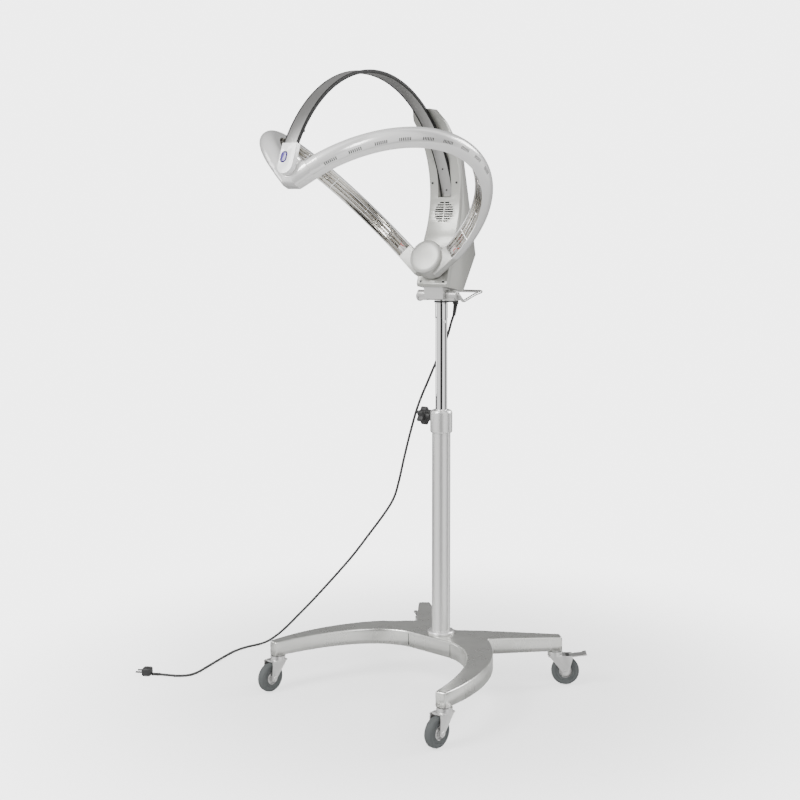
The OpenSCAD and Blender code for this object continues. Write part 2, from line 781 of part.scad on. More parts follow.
base_hub();
front_leg(-1);  // front_leg_left
front_leg(1);  // front_leg_right
rear_leg(-1);  // rear_leg_left
rear_leg(1);  // rear_leg_right
caster_stems();
column_flange();
column_tube();
column_collar();
star_knob();
at_caster(-1, true) fork(false);  // fork_front_left
at_caster(1, true) fork(false);  // fork_front_right
at_caster(-1, false) fork(true);  // fork_rear_left
at_caster(1, false) fork(true);  // fork_rear_right
at_caster(-1, true) rim();  // rim_front_left
at_caster(1, true) rim();  // rim_front_right
at_caster(-1, false) rim();  // rim_rear_left
at_caster(1, false) rim();  // rim_rear_right
at_caster(-1, true) tyre();  // tyre_front_left
at_caster(1, true) tyre();  // tyre_front_right
at_caster(-1, false) tyre();  // tyre_rear_left
at_caster(1, false) tyre();  // tyre_rear_right
brake_pedal(-1);  // brake_pedal_left
brake_pedal(1);  // brake_pedal_right
mast_tube();
mast_sleeve();
cord_outlet();
yoke();
tilt_shaft();
grab_handle();
tilt_knuckle();
rear_shell();
front_cover();
cover_screws();
overhead_band();
tip_cap();
sensor_lens();
fan_frame();
fan_rotor();
drive_motor();
drive_pinion();
circuit_board();
control_panel();
power_switch();
button(-1);  // button_start
button(1);  // button_timer
spin_gear();
hub_body();
hub_cap();
arm_shell(-1);  // arm_shell_left
arm_shell(1);  // arm_shell_right
reflector(-1);  // reflector_left
reflector(1);  // reflector_right
heater(-1);  // heater_left
heater(1);  // heater_right
guard_wires();
ring_nose();
power_cord();
cord_plug();
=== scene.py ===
import json
import math

import bmesh
import bpy
from mathutils import Matrix, Vector

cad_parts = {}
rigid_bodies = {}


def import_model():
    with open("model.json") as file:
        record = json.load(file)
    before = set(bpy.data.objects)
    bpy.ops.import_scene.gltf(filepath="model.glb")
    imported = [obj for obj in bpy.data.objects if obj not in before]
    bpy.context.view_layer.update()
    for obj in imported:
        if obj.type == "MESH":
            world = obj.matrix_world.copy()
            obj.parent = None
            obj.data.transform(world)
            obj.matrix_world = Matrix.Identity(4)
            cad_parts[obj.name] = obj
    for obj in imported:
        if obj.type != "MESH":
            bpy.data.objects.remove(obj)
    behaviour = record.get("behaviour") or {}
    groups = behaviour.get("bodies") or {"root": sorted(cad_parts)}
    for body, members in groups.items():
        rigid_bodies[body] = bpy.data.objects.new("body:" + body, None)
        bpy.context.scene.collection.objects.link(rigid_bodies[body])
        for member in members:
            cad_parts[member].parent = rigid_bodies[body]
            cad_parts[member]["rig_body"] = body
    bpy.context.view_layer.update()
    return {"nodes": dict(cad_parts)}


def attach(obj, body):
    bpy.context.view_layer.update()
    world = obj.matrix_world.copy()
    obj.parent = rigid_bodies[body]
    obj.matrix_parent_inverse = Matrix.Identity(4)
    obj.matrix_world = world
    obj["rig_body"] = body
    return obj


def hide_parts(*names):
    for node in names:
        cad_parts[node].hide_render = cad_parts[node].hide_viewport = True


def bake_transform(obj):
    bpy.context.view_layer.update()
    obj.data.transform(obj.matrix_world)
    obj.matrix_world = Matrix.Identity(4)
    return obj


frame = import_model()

MM = 0.001

# ---------- where things are ----------
# The unit faces -Y and stands on Z = 0. Places are in metres; tables and routes are in millimetres.

HEAD_TURN = math.radians(10.3)      # the head's swivel at rest
AXIS_SLOPE = math.radians(20.9)     # the ring's axis rises this much to the front
AXIS_OFFSET = 43 * MM               # from the ring's axis to the centres of the arms' circles
ARM_SPREAD = 50.2                   # degrees from the ring's middle plane to each arm's
RING_TURN = math.radians(1.3)       # the ring's spin at rest
ARM_IN, ARM_OUT, ARM_HALF = 305 * MM, 343 * MM, 22 * MM
ARM_FROM, ARM_TO = 17.0, 166.0      # degrees along the arm's circle, from the hub to the nose
RING_Y = -373 * MM + AXIS_OFFSET * math.sin(AXIS_SLOPE)
RING_Z = 1228.5 * MM + AXIS_OFFSET * math.cos(AXIS_SLOPE)
FRONT_STEM, REAR_STEM = (294, -332), (237, 200)     # caster stems on the right-hand legs


def turn(axis, degrees):
    return Matrix.Rotation(math.radians(degrees), 4, axis)


def shift(x, y, z):
    return Matrix.Translation((x, y, z))


BASE = Matrix.Identity(4)
HEAD = Matrix.Rotation(HEAD_TURN, 4, "Z")
# The ring's axis, with Z pointing down it to the hub at the rear, still and turned with the ring.
SPIN = HEAD @ shift(0, RING_Y, RING_Z) @ Matrix.Rotation(-math.pi / 2 - AXIS_SLOPE, 4, "X")
RING = SPIN @ Matrix.Rotation(RING_TURN, 4, "Z")


def arm_frame(side):
    """Local X and Y hold the arm's circle, X along the axis to the rear; Z is across the arm."""
    swing = ARM_SPREAD - 90 if side > 0 else -90 - ARM_SPREAD
    return RING @ shift(0, AXIS_OFFSET, 0) @ turn("Z", swing) @ turn("Y", -90) @ turn("X", -90)


# ---------- camera, light and floor ----------

def make_camera():
    """Looks at the unit from its right front, at the height of the head."""
    azimuth, pitch = math.radians(40.39), math.radians(2.76)
    away, height, aim_aside = 3.5785, 1.2188, 0.0313
    data = bpy.data.cameras.new("camera")
    data.sensor_width = 36.0
    data.lens = 59.76
    data.shift_y = -0.125
    camera = bpy.data.objects.new("camera", data)
    bpy.context.scene.collection.objects.link(camera)
    camera.location = (away * math.sin(azimuth), -away * math.cos(azimuth), height)
    yaw = azimuth + math.atan(aim_aside * math.cos(pitch))
    camera.rotation_euler = (math.pi / 2 - pitch, 0, yaw)
    bpy.context.scene.camera = camera


def area_light(name, place, target, size, power):
    data = bpy.data.lights.new(name, "AREA")
    data.shape = "RECTANGLE"
    data.size, data.size_y = size
    data.energy = power
    lamp = bpy.data.objects.new(name, data)
    bpy.context.scene.collection.objects.link(lamp)
    lamp.location = place
    lamp.rotation_euler = (Vector(target) - Vector(place)).to_track_quat("-Z", "Y").to_euler()


# What the metal reflects: (bearing, grey). A bearing is a part of a full turn, with the back at 0.75,
# +X at 0.5 and the front at 0.25; the camera stands at about 0.36, between two bright bands.
ROOM_BANDS = [(0.0, 0.12), (0.08, 0.1), (0.105, 1.0), (0.20, 1.3), (0.30, 1.1), (0.312, 0.03),
              (0.405, 0.03), (0.42, 1.5), (0.55, 1.3), (0.57, 0.04), (0.62, 0.06), (0.64, 1.5),
              (0.70, 1.3), (0.73, 0.12), (0.86, 0.3), (0.92, 0.25), (1.0, 0.12)]
BACKDROP = 4.5                      # brightness of the room as the camera sees it
FLOOR_RADIUS = 3.2
FLOOR_FADE = (0.35, 1.5)            # the floor turns transparent between these distances


def opaque_grey(value):
    return (value, value, value, 1)


def make_room():
    """White room: bright to the camera, with soft darker bands for metal to reflect."""
    world = bpy.data.worlds.new("studio")
    bpy.context.scene.world = world
    world.use_nodes = True
    tree = world.node_tree
    tree.nodes.clear()
    out = tree.nodes.new("ShaderNodeOutputWorld")
    seen_or_lit = tree.nodes.new("ShaderNodeMixShader")
    seen = tree.nodes.new("ShaderNodeBackground")
    lit = tree.nodes.new("ShaderNodeBackground")
    path = tree.nodes.new("ShaderNodeLightPath")
    where = tree.nodes.new("ShaderNodeTexCoord")
    split = tree.nodes.new("ShaderNodeSeparateXYZ")
    bearing = tree.nodes.new("ShaderNodeMath")
    bearing.operation = "ARCTAN2"
    ramp = tree.nodes.new("ShaderNodeValToRGB")
    scale = tree.nodes.new("ShaderNodeMapRange")
    scale.inputs["From Min"].default_value = -math.pi
    scale.inputs["From Max"].default_value = math.pi
    seen.inputs["Color"].default_value = opaque_grey(1)
    seen.inputs["Strength"].default_value = BACKDROP
    bands = ramp.color_ramp.elements
    for end, (place, tone) in zip(bands, (ROOM_BANDS[0], ROOM_BANDS[-1])):
        end.position = place
        end.color = opaque_grey(tone)
    for place, tone in ROOM_BANDS[1:-1]:
        bands.new(place).color = opaque_grey(tone)
    link = tree.links.new
    link(where.outputs["Generated"], split.inputs[0])
    link(split.outputs["Y"], bearing.inputs[0])
    link(split.outputs["X"], bearing.inputs[1])
    link(bearing.outputs[0], scale.inputs["Value"])
    link(scale.outputs["Result"], ramp.inputs["Fac"])
    link(ramp.outputs["Color"], lit.inputs["Color"])
    link(path.outputs["Is Camera Ray"], seen_or_lit.inputs[0])
    link(lit.outputs[0], seen_or_lit.inputs[1])
    link(seen.outputs[0], seen_or_lit.inputs[2])
    link(seen_or_lit.outputs[0], out.inputs["Surface"])


def make_floor():
    """Pale floor that fades out with distance, so that there is no horizon."""
    bm = bmesh.new()
    bmesh.ops.create_circle(bm, cap_ends=True, radius=FLOOR_RADIUS, segments=96)
    mesh = bpy.data.meshes.new("floor")
    bm.to_mesh(mesh)
    bm.free()
    floor = bpy.data.objects.new("floor", mesh)
    floor.location.z = -0.0005
    bpy.context.scene.collection.objects.link(floor)
    material = bpy.data.materials.new("floor_white")
    material.use_nodes = True
    tree = material.node_tree
    shader = tree.nodes["Principled BSDF"]
    shader.inputs["Base Color"].default_value = (0.93, 0.93, 0.93, 1)
    shader.inputs["Roughness"].default_value = 0.8
    clear = tree.nodes.new("ShaderNodeBsdfTransparent")
    mixed = tree.nodes.new("ShaderNodeMixShader")
    where = tree.nodes.new("ShaderNodeTexCoord")
    reach = tree.nodes.new("ShaderNodeVectorMath")
    reach.operation = "LENGTH"
    fade = tree.nodes.new("ShaderNodeMapRange")
    fade.interpolation_type = "SMOOTHSTEP"
    fade.inputs["From Min"].default_value = FLOOR_FADE[0]
    fade.inputs["From Max"].default_value = FLOOR_FADE[1]
    fade.inputs["To Min"].default_value = 0.35
    link = tree.links.new
    link(where.outputs["Object"], reach.inputs[0])
    link(reach.outputs["Value"], fade.inputs["Value"])
    link(fade.outputs["Result"], mixed.inputs[0])
    link(shader.outputs[0], mixed.inputs[1])
    link(clear.outputs[0], mixed.inputs[2])
    link(mixed.outputs[0], tree.nodes["Material Output"].inputs["Surface"])
    mesh.materials.append(material)


make_camera()
make_room()
area_light("key", (-0.7, -2.9, 3.0), (0, -0.2, 0.9), (1.4, 1.4), 120)
area_light("side", (2.6, -2.0, 2.6), (0, -0.1, 0.9), (0.7, 1.2), 40)
area_light("fill", (-2.8, -1.0, 1.4), (0, -0.2, 0.9), (0.9, 2.0), 20)
area_light("rim", (1.4, 2.6, 2.4), (0, 0, 1.0), (1.2, 1.2), 60)
make_floor()

# ---------- finishes ----------

FLOAT, VECTOR = "NodeSocketFloat", "NodeSocketVector"


def node_group(name, inputs, outputs):
    """An empty shader group with its input and output nodes."""
    group = bpy.data.node_groups.new(name, "ShaderNodeTree")
    for label, kind, value in inputs:
        socket = group.interface.new_socket(name=label, in_out="INPUT", socket_type=kind)
        if value is not None:
            socket.default_value = value
    for label, kind in outputs:
        group.interface.new_socket(name=label, in_out="OUTPUT", socket_type=kind)
    return group, group.nodes.new("NodeGroupInput"), group.nodes.new("NodeGroupOutput")


def noise(tree, scale, detail, rough=0.55):
    node = tree.nodes.new("ShaderNodeTexNoise")
    node.inputs["Scale"].default_value = scale
    node.inputs["Detail"].default_value = detail
    node.inputs["Roughness"].default_value = rough
    return node


def make_surface_group():
    """Clouding, roughness change and fine relief of a lacquered, plated or moulded surface."""
    group, take, give = node_group(
        "surface_detail",
        [("Vector", VECTOR, None), ("Grain Scale", FLOAT, 400.0), ("Relief", FLOAT, 0.1),
         ("Rough Low", FLOAT, 0.3), ("Rough High", FLOAT, 0.4)],
        [("Tone", FLOAT), ("Roughness", FLOAT), ("Normal", VECTOR)])
    link = group.links.new
    cloud = noise(group, 7.0, 5.0)
    grain = group.nodes.new("ShaderNodeTexNoise")
    grain.inputs["Detail"].default_value = 3.0
    both = group.nodes.new("ShaderNodeMath")
    both.operation = "MULTIPLY_ADD"
    both.inputs[1].default_value = 0.35
    spread = group.nodes.new("ShaderNodeMapRange")
    spread.inputs["From Min"].default_value = 0.3
    spread.inputs["From Max"].default_value = 0.95
    bump = group.nodes.new("ShaderNodeBump")
    bump.inputs["Distance"].default_value = 0.0004
    link(take.outputs["Vector"], cloud.inputs["Vector"])
    link(take.outputs["Vector"], grain.inputs["Vector"])
    link(take.outputs["Grain Scale"], grain.inputs["Scale"])
    link(grain.outputs["Fac"], both.inputs[0])
    link(cloud.outputs["Fac"], both.inputs[2])
    link(both.outputs[0], spread.inputs["Value"])
    link(take.outputs["Rough Low"], spread.inputs["To Min"])
    link(take.outputs["Rough High"], spread.inputs["To Max"])
    link(grain.outputs["Fac"], bump.inputs["Height"])
    link(take.outputs["Relief"], bump.inputs["Strength"])
    link(both.outputs[0], give.inputs["Tone"])
    link(spread.outputs["Result"], give.inputs["Roughness"])
    link(bump.outputs["Normal"], give.inputs["Normal"])
    return group


def make_wear_group():
    """Where dust settles on upward faces and hands or shoes have rubbed the finish."""
    group, take, give = node_group(
        "dust_and_rubs", [("Vector", VECTOR, None), ("Amount", FLOAT, 0.3)], [("Mask", FLOAT)])
    link = group.links.new
    face = group.nodes.new("ShaderNodeNewGeometry")
    split = group.nodes.new("ShaderNodeSeparateXYZ")
    up = group.nodes.new("ShaderNodeMapRange")
    up.inputs["From Min"].default_value = 0.4
    patch = noise(group, 24.0, 8.0, 0.7)
    cut = group.nodes.new("ShaderNodeMapRange")
    cut.inputs["From Min"].default_value = 0.45
    cut.inputs["From Max"].default_value = 0.75
    product = group.nodes.new("ShaderNodeMath")
    product.operation = "MULTIPLY"
    scaled = group.nodes.new("ShaderNodeMath")
    scaled.operation = "MULTIPLY"
    link(face.outputs["Normal"], split.inputs[0])
    link(split.outputs["Z"], up.inputs["Value"])
    link(take.outputs["Vector"], patch.inputs["Vector"])
    link(patch.outputs["Fac"], cut.inputs["Value"])
    link(up.outputs["Result"], product.inputs[0])
    link(cut.outputs["Result"], product.inputs[1])
    link(product.outputs[0], scaled.inputs[0])
    link(take.outputs["Amount"], scaled.inputs[1])
    link(scaled.outputs[0], give.inputs["Mask"])
    return group


SURFACE = make_surface_group()
WEAR = make_wear_group()


def finish(name, dark, light, rough, metal=0.0, grain=400.0, relief=0.08, stretch=(1, 1, 1),
           coat=0.0, wear=0.15, wear_colour=(0.55, 0.54, 0.52), specular=0.5):
    """A material whose colour clouds between two tones; stretch draws the grain out in lines."""
    material = bpy.data.materials.new(name)
    material.use_nodes = True
    tree = material.node_tree
    link = tree.links.new
    shader = tree.nodes["Principled BSDF"]
    shader.inputs["Metallic"].default_value = metal
    shader.inputs["Coat Weight"].default_value = coat
    shader.inputs["Coat Roughness"].default_value = 0.06
    shader.inputs["Specular IOR Level"].default_value = specular
    where = tree.nodes.new("ShaderNodeTexCoord")
    place = tree.nodes.new("ShaderNodeMapping")
    place.inputs["Scale"].default_value = stretch
    detail = tree.nodes.new("ShaderNodeGroup")
    detail.node_tree = SURFACE
    detail.inputs["Grain Scale"].default_value = grain
    detail.inputs["Relief"].default_value = relief
    detail.inputs["Rough Low"].default_value = rough[0]
    detail.inputs["Rough High"].default_value = rough[1]
    rubs = tree.nodes.new("ShaderNodeGroup")
    rubs.node_tree = WEAR
    rubs.inputs["Amount"].default_value = wear
    tones = tree.nodes.new("ShaderNodeMix")
    tones.data_type = "RGBA"
    tones.inputs["A"].default_value = (*dark, 1)
    tones.inputs["B"].default_value = (*light, 1)
    soiled = tree.nodes.new("ShaderNodeMix")
    soiled.data_type = "RGBA"
    soiled.inputs["B"].default_value = (*wear_colour, 1)
    link(where.outputs["Object"], place.inputs["Vector"])
    link(place.outputs["Vector"], detail.inputs["Vector"])
    link(where.outputs["Object"], rubs.inputs["Vector"])
    link(detail.outputs["Tone"], tones.inputs["Factor"])
    link(tones.outputs["Result"], soiled.inputs["A"])
    link(rubs.outputs["Mask"], soiled.inputs["Factor"])
    link(soiled.outputs["Result"], shader.inputs["Base Color"])
    link(detail.outputs["Roughness"], shader.inputs["Roughness"])
    link(detail.outputs["Normal"], shader.inputs["Normal"])
    return material


def grey(value, warm=0.0):
    """A grey that takes out some blue, and a third as much green, as it warms."""
    return (value, value * (1 - 0.3 * warm), value * (1 - warm))


BASE_METAL = finish("brushed_base", (0.60, 0.605, 0.57), (0.76, 0.76, 0.73), (0.22, 0.34), metal=0.9,
                    grain=320, relief=0.03, stretch=(3, 3, 0.4), wear=0.05)
COLUMN = finish("column_silver", grey(0.74, 0.02), grey(0.82, 0.02), (0.30, 0.38), metal=0.75,
                grain=500, relief=0.04, stretch=(1, 1, 0.15), wear=0.05)
CHROME = finish("chrome", grey(0.84), grey(0.92), (0.03, 0.06), metal=1.0, grain=60, relief=0.01,
                wear=0.03)
ZINC = finish("zinc_plate", grey(0.55, 0.02), grey(0.72, 0.02), (0.28, 0.42), metal=0.95,
              grain=200, relief=0.08)
SATIN = finish("satin_chrome", grey(0.50, 0.03), grey(0.62, 0.02), (0.26, 0.36), metal=0.9,
               grain=300, relief=0.05, wear=0.05)
ALLOY = finish("satin_alloy", grey(0.52, 0.03), grey(0.60, 0.03), (0.30, 0.40), metal=0.55,
               grain=500, relief=0.05, wear=0.06)
RIM = finish("rim_silver", grey(0.50, 0.02), grey(0.62, 0.02), (0.35, 0.5), metal=0.6, grain=400)
TYRE = finish("grey_rubber", (0.062, 0.068, 0.068), (0.088, 0.095, 0.095), (0.62, 0.8),
              grain=700, relief=0.2, wear=0.3, wear_colour=(0.20, 0.20, 0.19))
BLACK = finish("black_plastic", grey(0.012), grey(0.025), (0.42, 0.55), grain=900, relief=0.25,
               wear=0.05)
HOUSING = finish("housing_silver", (0.36, 0.36, 0.335), (0.43, 0.43, 0.40), (0.28, 0.36), metal=0.35,
                 grain=900, relief=0.05, coat=0.25, wear=0.05)
BAND = finish("band_grey", grey(0.36, 0.03), grey(0.44, 0.03), (0.24, 0.34), metal=0.8,
              grain=500, relief=0.03, wear=0.05)
# Near-black: the band's edge trim, and also painted shade in the arm vent slots, the seam lines on
# the base and the sensor pocket.
TRIM_AND_SHADE = finish("black_trim_and_shade", grey(0.008), grey(0.016), (0.5, 0.6), grain=600, relief=0.05, wear=0.0,
              specular=0.2)
WHITE = finish("white_plastic", grey(0.86, 0.01), grey(0.93, 0.01), (0.18, 0.26), grain=700,
               relief=0.03, coat=0.3, wear=0.03)
PEARL = finish("pearl_shell", grey(0.80, 0.02), grey(0.88, 0.02), (0.16, 0.24), metal=0.3,
               grain=900, relief=0.03, coat=0.6, wear=0.04)
HUB = finish("hub_silver", (0.42, 0.42, 0.395), (0.48, 0.48, 0.455), (0.30, 0.40), metal=0.35,
             grain=700, relief=0.06, coat=0.15, wear=0.05)
POLISHED = finish("polished_reflector", grey(0.70, 0.08), grey(0.86, 0.05), (0.06, 0.16), metal=1.0,
                  grain=40, relief=0.02, wear=0.0)
GEAR = finish("gear_plastic", grey(0.70, 0.1), grey(0.78, 0.1), (0.4, 0.5), grain=500)
BOARD = finish("board_green", (0.01, 0.09, 0.035), (0.02, 0.14, 0.05), (0.35, 0.45), grain=300)
PANEL = finish("panel_grey", grey(0.05), grey(0.08), (0.35, 0.45), grain=900, relief=0.15)
SCREW = finish("screw_black", grey(0.02), grey(0.05), (0.35, 0.5), metal=0.6, grain=300)
CORD = finish("cord_rubber", grey(0.02), grey(0.035), (0.5, 0.62), grain=700, relief=0.12,
              wear=0.15)
CERAMIC = finish("ceramic", grey(0.72, 0.06), grey(0.82, 0.05), (0.4, 0.55), grain=300)
RED = finish("red_wire", (0.45, 0.05, 0.04), (0.6, 0.08, 0.06), (0.4, 0.5), grain=300)
DISPLAY = finish("display_dark", (0.01, 0.02, 0.03), (0.015, 0.03, 0.04), (0.05, 0.1), grain=50,
                 relief=0.0, coat=0.8, wear=0.0)
LENS = finish("violet_lens", (0.015, 0.008, 0.10), (0.07, 0.035, 0.30), (0.14, 0.22), grain=60,
              relief=0.0, coat=0.15, wear=0.0)
FILAMENT = finish("filament", grey(0.10, 0.2), grey(0.25, 0.2), (0.4, 0.6), metal=0.9, grain=200)


def glass(name, colour, rough):
    """Clear tube wall; a low index keeps a thin solid rod from bending the view like a lens."""
    material = bpy.data.materials.new(name)
    material.use_nodes = True
    shader = material.node_tree.nodes["Principled BSDF"]
    shader.inputs["Base Color"].default_value = (*colour, 1)
    shader.inputs["Roughness"].default_value = rough
    shader.inputs["Transmission Weight"].default_value = 1.0
    shader.inputs["IOR"].default_value = 1.3
    return material


QUARTZ = glass("quartz", (0.93, 0.90, 0.85), 0.03)

# ---------- making pieces ----------

WELD = 1e-6     # points closer than this are the same point


def place_piece(bm, name, material, body, nodes=(), place=BASE, smooth=40.0,
                recalc=False):
    """Puts a finished bmesh into the scene at its place, riding on its CAD body."""
    bmesh.ops.transform(bm, matrix=place, verts=bm.verts)
    if recalc:
        bmesh.ops.recalc_face_normals(bm, faces=bm.faces)
    for face in bm.faces:
        face.smooth = True
    mesh = bpy.data.meshes.new(name)
    bm.to_mesh(mesh)
    bm.free()
    mesh.set_sharp_from_angle(angle=math.radians(smooth))
    mesh.materials.append(material)
    obj = bpy.data.objects.new(name, mesh)
    bpy.context.scene.collection.objects.link(obj)
    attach(obj, body)
    if nodes:
        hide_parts(*nodes)
    return obj


def round_edges(bm, edges, width, segments):
    bmesh.ops.bevel(bm, geom=edges, offset=width, offset_type="OFFSET", segments=segments,
                    profile=0.5, affect="EDGES", material=-1, clamp_overlap=True)


def creases(edges, angle):
    """The edges whose two faces meet at more than the angle."""
    return [e for e in edges if len(e.link_faces) == 2 and e.calc_face_angle() > angle]


def close_ends(bm):
    """Caps an open-ended sweep and turns its faces outward."""
    bmesh.ops.holes_fill(bm, edges=[e for e in bm.edges if e.is_boundary])
    bmesh.ops.recalc_face_normals(bm, faces=bm.faces)


def eased(node, name, material, body, width=1.0, segments=3, sharp=28.0):
    """The CAD node with its corners eased as a casting or moulding has them, width in mm."""
    bm = bmesh.new()
    bm.from_mesh(frame["nodes"][node].data)
    bmesh.ops.remove_doubles(bm, verts=bm.verts, dist=10 * WELD)
    bmesh.ops.dissolve_limit(bm, angle_limit=math.radians(0.6), verts=bm.verts, edges=bm.edges)
    round_edges(bm, creases(bm.edges, math.radians(sharp)), width * MM, segments)
    place_piece(bm, name, material, body, (node,))


def dress(node, material):
    """Gives a CAD node that is right as it stands its finish."""
    obj = frame["nodes"][node]
    obj.data.materials.clear()
    obj.data.materials.append(material)


def spun(points, steps, degrees=360.0):
    """Turns a closed outline about Z; a full turn is merged, a part turn is left open-ended."""
    bm = bmesh.new()
    verts = [bm.verts.new(p) for p in points]
    edges = [bm.edges.new(pair) for pair in zip(verts, verts[1:] + verts[:1])]
    bmesh.ops.spin(bm, geom=verts + edges, cent=(0, 0, 0), axis=(0, 0, 1), dvec=(0, 0, 0),
                   angle=math.radians(degrees), steps=steps, use_merge=degrees == 360.0,
                   use_duplicate=False)
    bmesh.ops.remove_doubles(bm, verts=bm.verts, dist=WELD)
    return bm


def swept_arc(outline, first, last, steps):
    """An outline of (radius, height) swept between two angles, with its ends closed."""
    at = math.radians(first)
    bm = spun([(r * math.cos(at), r * math.sin(at), h) for r, h in outline], steps, last - first)
    close_ends(bm)
    return bm


def tube_mesh(points, radius, resolution):
    """Round tube along a line of points, as a mesh."""
    curve = bpy.data.curves.new("line", "CURVE")
    curve.dimensions = "3D"
    curve.bevel_depth = radius
    curve.bevel_resolution = resolution
    curve.use_fill_caps = True
    spline = curve.splines.new("POLY")
    spline.points.add(len(points) - 1)
    for knot, point in zip(spline.points, points):
        knot.co = (*point, 1)
    obj = bpy.data.objects.new("line", curve)
    bpy.context.scene.collection.objects.link(obj)
    bpy.context.view_layer.update()
    mesh = bpy.data.meshes.new_from_object(obj.evaluated_get(bpy.context.evaluated_depsgraph_get()))
    bpy.data.objects.remove(obj)
    bpy.data.curves.remove(curve)
    return mesh


def tube(points, radius, resolution):
    bm = bmesh.new()
    mesh = tube_mesh(points, radius, resolution)
    bm.from_mesh(mesh)
    bpy.data.meshes.remove(mesh)
    bmesh.ops.remove_doubles(bm, verts=bm.verts, dist=WELD)
    return bm


def add_box(bm, centre, size, bevel=0.0, segments=2, place=BASE):
    made = bmesh.ops.create_cube(bm, size=1.0, matrix=place @ Matrix.Translation(centre)
                                 @ Matrix.Diagonal((*size, 1)))
    if bevel:
        round_edges(bm, list({e for v in made["verts"] for e in v.link_edges}), bevel, segments)


def add_disc(bm, centre, radius, height, place=BASE, lie=BASE, segments=32, bevel=0.0,
             radius_top=None):
    """A cylinder or cone; lie turns its axis away from Z."""
    made = bmesh.ops.create_cone(bm, cap_ends=True, segments=segments, radius1=radius,
                                 radius2=radius if radius_top is None else radius_top, depth=height,
                                 matrix=place @ Matrix.Translation(centre) @ lie)
    if bevel:
        edges = {e for v in made["verts"] for e in v.link_edges}
        round_edges(bm, creases(edges, 1.0), bevel, 2)


def catmull(points, per_span):
    """Smooth line through the points."""
    line = []
    last = len(points) - 1
    for i in range(last):
        a, b = points[max(i - 1, 0)], points[i]
        c, d = points[i + 1], points[min(i + 2, last)]
        for k in range(per_span):
            t = k / per_span
            line.append(0.5 * (2 * b + (c - a) * t + (2 * a - 5 * b + 4 * c - d) * t * t
                               + (3 * b - 3 * c + d - a) * t ** 3))
    line.append(points[last])
    return line


def bezier(a, b, c, d, t):
    a, b, c, d = (Vector(p) for p in (a, b, c, d))
    return (1 - t) ** 3 * a + 3 * t * (1 - t) ** 2 * b + 3 * t * t * (1 - t) * c + t ** 3 * d


# ---------- power cord ----------

CORD_RADIUS = 3.5 * MM
# From the outlet under the head, down past the column, to the floor on the left.
CORD_ROUTE = [Vector(p) * MM for p in [
    (12, 45, 1034), (8, 45, 1012), (-3, 45, 984), (-20, 45, 940), (-60, 42, 863),
    (-84, 40, 815), (-104, 38, 775), (-122, 35, 730), (-144, 31, 658), (-162, 28, 592),
    (-178, 25, 528), (-194, 22, 480), (-222, 16, 435), (-271, 4, 370), (-335, -12, 288),
    (-439, -40, 170), (-500, -59, 104), (-552, -75, 50), (-588, -89, 19), (-606, -105, 7),
    (-615, -127, 4), (-620, -158, 4), (-618, -200, 4), (-605, -246, 4), (-578, -320, 4),
    (-557, -376, 4), (-547, -408, 4), (-549, -436, 4), (-566, -457, 4), (-588, -470, 4),
    (-612, -482, 4)]]
CORD_LINE = catmull(CORD_ROUTE, 6)


def make_cord():
    """The cord hangs from the mast and lies on the floor, so it is left attached to neither body."""
    cord = place_piece(tube(CORD_LINE, CORD_RADIUS, 4), "mains_cord", CORD, "base", (),
                       smooth=60)
    cord.parent = None
    del cord["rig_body"]
    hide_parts("power_cord")
    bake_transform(cord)

    plug = bmesh.new()
    heading = Matrix.Translation(CORD_ROUTE[-1]) @ Matrix.Rotation(math.atan2(-18, -26), 4, "Z")
    along = turn("Y", 90)
    add_disc(plug, (12 * MM, 0, 0), 4 * MM, 24 * MM, heading, along, 24, 0.6 * MM)
    for step in range(4):
        add_disc(plug, ((5 + 5 * step) * MM, 0, 0), 4 * MM, 2 * MM, heading, along, 24, 0.5 * MM)
    add_box(plug, (37 * MM, 0, 7 * MM), (26 * MM, 28 * MM, 22 * MM), 5 * MM, 5, heading)
    for side in (-1, 1):
        add_disc(plug, (56 * MM, side * 9.5 * MM, 7 * MM), 2.4 * MM, 22 * MM, heading, along, 20,
                 0.8 * MM)
    plug_piece = place_piece(plug, "mains_plug", CORD, "base", ("cord_plug",))

    sleeve = bmesh.new()
    first = CORD_ROUTE[1] - CORD_ROUTE[0]
    drop = first.to_track_quat("Z", "Y").to_matrix().to_4x4()
    add_disc(sleeve, CORD_ROUTE[0] + first * 0.7, 6.2 * MM, 32 * MM, BASE, drop, 28, 0.0, 4.2 * MM)
    relief = place_piece(sleeve, "cord_sleeve", CORD, "mast", ())


make_cord()

# ---------- base ----------

HUB_TOP, LEG_TOP, LEG_BOTTOM = 0.138, 0.132, 0.095
BASE_WALL = 3 * MM
# The right-hand half in plan, seen from above.
HUB_FRONT, HUB_SIDE, HUB_BACK = (74, -50), (128, 45), (16, 50)
FRONT_LEG_INSIDE = (HUB_FRONT, (190, -70), (250, -200), (281, -353))
FRONT_LEG_OUTSIDE = (HUB_SIDE, (245, -45), (312, -190), (309, -348))
REAR_LEG_OUTSIDE = (HUB_SIDE, (260, 203))
REAR_LEG_INSIDE = (HUB_BACK, (235, 225))


def plan_points(shape, steps, side):
    """Points along a straight line or a curve in plan, mirrored for the left side."""
    for i in range(steps + 1):
        if len(shape) == 4:
            x, y, _ = bezier(*((*p, 0) for p in shape), i / steps)
        else:
            x, y = Vector(shape[0]).lerp(Vector(shape[1]), i / steps)
        yield side * x, y


